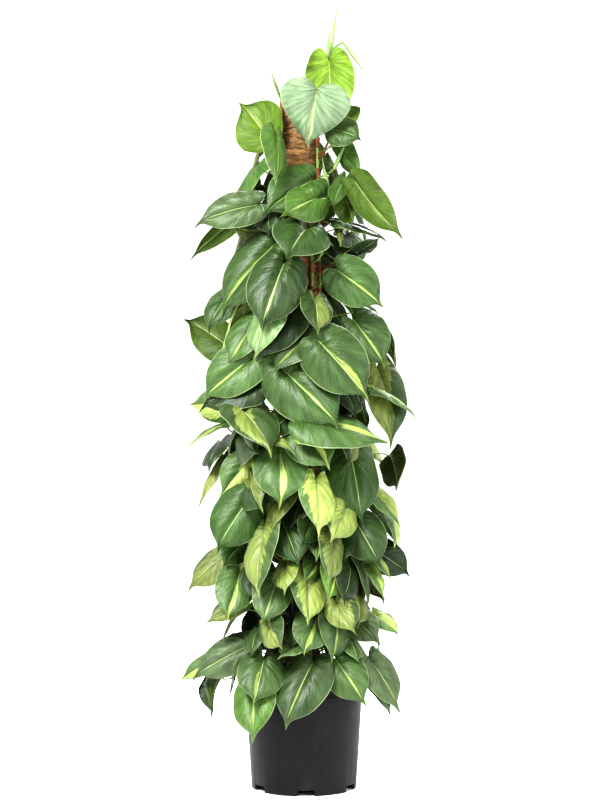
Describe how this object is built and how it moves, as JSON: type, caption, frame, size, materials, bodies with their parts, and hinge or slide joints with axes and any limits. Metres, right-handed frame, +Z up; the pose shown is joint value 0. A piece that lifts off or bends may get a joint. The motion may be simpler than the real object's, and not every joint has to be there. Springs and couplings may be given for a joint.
{
  "type": "potted brasil philodendron",
  "caption": "Variegated heart-leaf philodendron climbing a coir pole in a round black nursery pot, with dark and lime leaves from the rim to above the pole.",
  "frame": {"origin": "centre of the pot's base, where it stands on the ground", "axes": "+Z up along the pole; -Y towards the viewer of the picture, +X to that viewer's right"},
  "size_m": [0.4796, 0.407, 1.5669],
  "materials": {
    "pot_plastic": "satin",
    "potting_mix": "matte",
    "stake_wood": "matte",
    "coir": "matte",
    "foliage": "satin",
    "tie_ribbon": "matte"
  },
  "bodies": {
    "root": {"pot": "pot_plastic", "potting_mix": "potting_mix", "pole_stake": "stake_wood", "coir_sleeve": "coir", "vine_1": "foliage", "vine_2": "foliage", "vine_3": "foliage", "vine_4": "foliage", "vine_5": "foliage", "vine_6": "foliage", "vine_7": "foliage", "vine_8": "foliage", "tie_1": "tie_ribbon", "tie_2": "tie_ribbon", "tie_3": "tie_ribbon", "tie_4": "tie_ribbon"}
  },
  "joints": []
}
